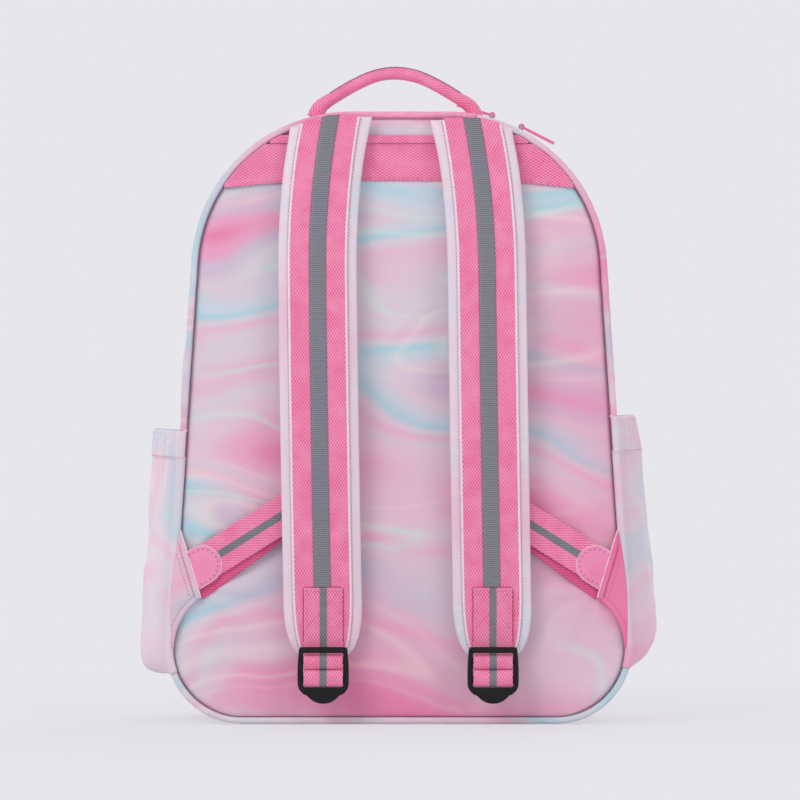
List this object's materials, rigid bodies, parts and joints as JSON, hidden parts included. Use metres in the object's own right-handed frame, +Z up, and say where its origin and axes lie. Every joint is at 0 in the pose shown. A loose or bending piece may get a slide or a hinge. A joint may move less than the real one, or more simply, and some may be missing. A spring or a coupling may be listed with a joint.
{
  "type": "school backpack",
  "caption": "Padded school backpack in pastel marbled cloth with webbing straps, ladder buckles, a zipped front flap, a front pocket and side pockets.",
  "frame": {"origin": "middle of the base's flat underside, halfway between the back and front panels", "axes": "+Z up, +Y from the back panel to the front pocket, +X to the right of someone who looks at the back panel"},
  "size_m": [0.3784, 0.2152, 0.474],
  "materials": {
    "print_fabric": "satin",
    "edge_fabric": "satin",
    "webbing": "matte",
    "reflective_tape": "satin",
    "leather_patch": "satin",
    "buckle_plastic": "satin",
    "zip_tape": "matte",
    "zip_teeth": "satin",
    "slider_metal": "satin",
    "pull_rubber": "satin",
    "lining": "matte",
    "foam": "matte",
    "base_stiffener": "matte"
  },
  "bodies": {
    "bag": {"back_panel": "print_fabric", "back_foam": "foam", "back_lining": "lining", "back_piping": "edge_fabric", "yoke_band": "webbing", "base_panel": "print_fabric", "base_board": "base_stiffener", "side_gusset_left": "print_fabric", "side_gusset_right": "print_fabric", "rear_gusset": "print_fabric", "main_zip_tape_rear": "zip_tape", "main_zip_teeth_rear": "zip_teeth", "main_zip_end_tabs": "webbing", "front_lower_panel": "print_fabric", "front_piping_lower": "edge_fabric", "front_pocket_gusset": "print_fabric", "front_pocket_face": "print_fabric", "front_pocket_zip_tapes": "zip_tape", "front_pocket_zip_teeth": "zip_teeth", "side_pocket_left": "print_fabric", "side_pocket_right": "print_fabric", "side_pocket_hem_left": "edge_fabric", "side_pocket_hem_right": "edge_fabric", "wing_left": "edge_fabric", "wing_right": "edge_fabric", "adjuster_left": "webbing", "adjuster_right": "webbing", "adjuster_tail_left": "webbing", "adjuster_tail_right": "webbing", "patch_left": "leather_patch", "patch_right": "leather_patch", "inner_sleeve": "lining", "sleeve_binding": "webbing"},
    "front_flap": {"flap_panel": "print_fabric", "flap_gusset": "print_fabric", "main_zip_tape_front": "zip_tape", "main_zip_teeth_front": "zip_teeth", "front_piping_upper": "edge_fabric"},
    "left_strap": {"strap_pad_left": "edge_fabric", "strap_webbing_left": "webbing", "strap_tape_left": "reflective_tape", "strap_tab_left": "webbing", "adjuster_run_left": "webbing"},
    "left_buckle": {"buckle_left": "buckle_plastic", "buckle_loop_left": "webbing"},
    "right_strap": {"strap_pad_right": "edge_fabric", "strap_webbing_right": "webbing", "strap_tape_right": "reflective_tape", "strap_tab_right": "webbing", "adjuster_run_right": "webbing"},
    "right_buckle": {"buckle_right": "buckle_plastic", "buckle_loop_right": "webbing"},
    "upper_slider": {"main_slider_upper": "slider_metal"},
    "upper_pull": {"main_pull_upper": "pull_rubber"},
    "lower_slider": {"main_slider_lower": "slider_metal"},
    "lower_pull": {"main_pull_lower": "pull_rubber"},
    "pocket_zip_slider": {"pocket_slider": "slider_metal"},
    "pocket_zip_pull": {"pocket_pull": "pull_rubber"},
    "handle": {"carry_handle": "webbing"}
  },
  "joints": [
    {"name": "flap_open", "type": "hinge", "parent": "bag", "child": "front_flap", "pos_m": [0, 0.0712, 0.2348], "axis": [-1, 0, 0], "range_deg": [0, 80]},
    {"name": "left_strap_swing", "type": "hinge", "parent": "bag", "child": "left_strap", "pos_m": [-0.0543, -0.07175, 0.437], "axis": [-1, 0, 0], "range_deg": [0, 30]},
    {"name": "left_buckle_tilt", "type": "hinge", "parent": "left_strap", "child": "left_buckle", "pos_m": [-0.0543, -0.09413, 0.0463], "axis": [-1, 0, 0], "range_deg": [0, 25]},
    {"name": "right_strap_swing", "type": "hinge", "parent": "bag", "child": "right_strap", "pos_m": [0.0673, -0.07175, 0.437], "axis": [-1, 0, 0], "range_deg": [0, 30]},
    {"name": "right_buckle_tilt", "type": "hinge", "parent": "right_strap", "child": "right_buckle", "pos_m": [0.0673, -0.09413, 0.0463], "axis": [-1, 0, 0], "range_deg": [0, 25]},
    {"name": "upper_slider_travel", "type": "hinge", "parent": "front_flap", "child": "upper_slider", "pos_m": [0.035, 0.008, 0.326], "axis": [0, -1, 0], "range_deg": [0, 15]},
    {"name": "upper_pull_lift", "type": "hinge", "parent": "upper_slider", "child": "upper_pull", "pos_m": [0.06834, 0.008, 0.44227], "axis": [0, 1, 0], "range_deg": [0, 85]},
    {"name": "lower_slider_travel", "type": "hinge", "parent": "front_flap", "child": "lower_slider", "pos_m": [0.035, 0.008, 0.326], "axis": [0, 1, 0], "range_deg": [0, 53]},
    {"name": "lower_pull_lift", "type": "hinge", "parent": "lower_slider", "child": "lower_pull", "pos_m": [0.08991, 0.008, 0.43377], "axis": [0, -1, 0], "range_deg": [0, 85]},
    {"name": "pocket_slider_travel", "type": "slide", "parent": "bag", "child": "pocket_zip_slider", "axis": [-1, 0, 0], "range_m": [0, 0.19]},
    {"name": "pocket_pull_lift", "type": "hinge", "parent": "pocket_zip_slider", "child": "pocket_zip_pull", "pos_m": [0.097, 0.11495, 0.174], "axis": [0, 0, -1], "range_deg": [0, 85]},
    {"name": "handle_tip", "type": "hinge", "parent": "bag", "child": "handle", "pos_m": [0, -0.054, 0.44429], "axis": [1, 0, 0], "range_deg": [-80, 70]}
  ]
}
